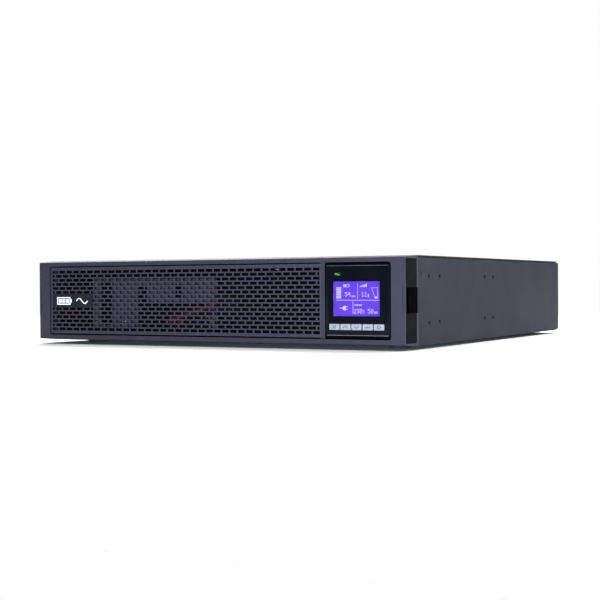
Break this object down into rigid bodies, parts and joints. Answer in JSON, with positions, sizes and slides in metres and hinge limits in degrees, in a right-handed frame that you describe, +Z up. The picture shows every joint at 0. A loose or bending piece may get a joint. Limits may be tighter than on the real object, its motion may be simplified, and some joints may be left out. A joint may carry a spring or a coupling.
{
  "type": "uninterruptible power supply",
  "caption": "Low rectangular rack or tower power backup unit with a slotted front grille, a small lit display with push buttons, and sockets and fans at the rear.",
  "frame": {"origin": "on the surface that the feet stand on, below the middle of the unit", "axes": "+X to the right seen from the front, +Y from front to rear, +Z up"},
  "size_m": [0.438, 0.48, 0.09],
  "materials": {
    "chassis_paint": "fine textured powder coat",
    "black_steel": "matt black paint",
    "grey_steel": "grey paint",
    "zinc_steel": "zinc plated",
    "bezel_plastic": "satin moulded plastic",
    "grip_plastic": "satin moulded plastic",
    "badge_plastic": "satin",
    "display_gloss": "high gloss",
    "display_clear": "clear",
    "display_lit": "lit from behind",
    "lamp_lens": "clear green",
    "button_plastic": "satin",
    "foot_rubber": "matt",
    "circuit_board": "solder resist",
    "battery_case": "moulded case",
    "lead_red": "satin",
    "lead_black": "satin",
    "plug_plastic": "satin",
    "bare_aluminium": "extruded",
    "copper_winding": "enamelled",
    "iron_core": "varnished",
    "capacitor_sleeve": "satin",
    "fan_plastic": "satin",
    "guard_wire": "plated wire",
    "socket_plastic": "satin",
    "breaker_white": "satin",
    "battery_socket_red": "satin",
    "port_metal": "plated",
    "terminal_green": "satin",
    "earth_brass": "plated"
  },
  "bodies": {
    "chassis": {"chassis_base": "chassis_paint", "top_cover": "chassis_paint", "rear_panel": "chassis_paint", "option_slot_cover": "chassis_paint", "front_plate": "black_steel", "battery_tray": "black_steel", "battery_door": "grey_steel", "divider_wall": "zinc_steel", "foot_front_left": "foot_rubber", "foot_front_right": "foot_rubber", "foot_rear_left": "foot_rubber", "foot_rear_right": "foot_rubber", "main_board": "circuit_board", "charger_board": "circuit_board", "battery_1": "battery_case", "battery_2": "battery_case", "battery_3": "battery_case", "battery_lead_red": "lead_red", "battery_lead_black": "lead_black", "battery_plug": "plug_plastic", "heatsink_left": "bare_aluminium", "heatsink_right": "bare_aluminium", "choke_1": "copper_winding", "choke_2": "copper_winding", "transformer": "iron_core", "capacitor_1": "capacitor_sleeve", "capacitor_2": "capacitor_sleeve", "capacitor_3": "capacitor_sleeve", "fan_frame_left": "fan_plastic", "fan_frame_right": "fan_plastic", "fan_guard_left": "guard_wire", "fan_guard_right": "guard_wire", "outlet_block_lower": "socket_plastic", "outlet_block_upper": "socket_plastic", "mains_inlet": "socket_plastic", "input_breaker": "socket_plastic", "external_battery_socket": "battery_socket_red", "usb_port": "port_metal", "serial_port": "port_metal", "emergency_off_terminal": "terminal_green", "earth_screw": "earth_brass"},
    "bezel": {"front_bezel": "bezel_plastic", "grille_panel": "bezel_plastic", "badge_plate": "badge_plastic", "side_grip_left": "grip_plastic", "side_grip_right": "grip_plastic"},
    "display_module": {"display_housing": "display_gloss", "display_window": "display_clear", "backlit_display": "display_lit", "status_lamp": "lamp_lens", "display_board": "circuit_board"},
    "fan_rotor_left": {"fan_rotor_left": "fan_plastic"},
    "fan_rotor_right": {"fan_rotor_right": "fan_plastic"},
    "breaker_button": {"breaker_button": "breaker_white"},
    "button_escape": {"button_escape": "button_plastic"},
    "button_up": {"button_up": "button_plastic"},
    "button_down": {"button_down": "button_plastic"},
    "button_enter": {"button_enter": "button_plastic"},
    "button_power": {"button_power": "button_plastic"}
  },
  "joints": [
    {"name": "bezel_pull", "type": "slide", "parent": "chassis", "child": "bezel", "axis": [0, -1, 0], "range_m": [0, 0.025]},
    {"name": "display_pull", "type": "slide", "parent": "bezel", "child": "display_module", "axis": [0, -1, 0], "range_m": [0, 0.02]},
    {"name": "button_escape_press", "type": "slide", "parent": "display_module", "child": "button_escape", "axis": [0, 1, 0], "range_m": [0, 0.0008], "stiffness_N_per_m": 400},
    {"name": "button_up_press", "type": "slide", "parent": "display_module", "child": "button_up", "axis": [0, 1, 0], "range_m": [0, 0.0008], "stiffness_N_per_m": 400},
    {"name": "button_down_press", "type": "slide", "parent": "display_module", "child": "button_down", "axis": [0, 1, 0], "range_m": [0, 0.0008], "stiffness_N_per_m": 400},
    {"name": "button_enter_press", "type": "slide", "parent": "display_module", "child": "button_enter", "axis": [0, 1, 0], "range_m": [0, 0.0008], "stiffness_N_per_m": 400},
    {"name": "button_power_press", "type": "slide", "parent": "display_module", "child": "button_power", "axis": [0, 1, 0], "range_m": [0, 0.0008], "stiffness_N_per_m": 400},
    {"name": "fan_left_spin", "type": "hinge", "parent": "chassis", "child": "fan_rotor_left", "pos_m": [-0.172, 0.2195, 0.0467], "axis": [0, 1, 0], "continuous": true},
    {"name": "fan_right_spin", "type": "hinge", "parent": "chassis", "child": "fan_rotor_right", "pos_m": [-0.088, 0.2195, 0.0467], "axis": [0, 1, 0], "continuous": true},
    {"name": "breaker_trip", "type": "slide", "parent": "chassis", "child": "breaker_button", "axis": [0, 1, 0], "range_m": [0, 0.003]}
  ]
}
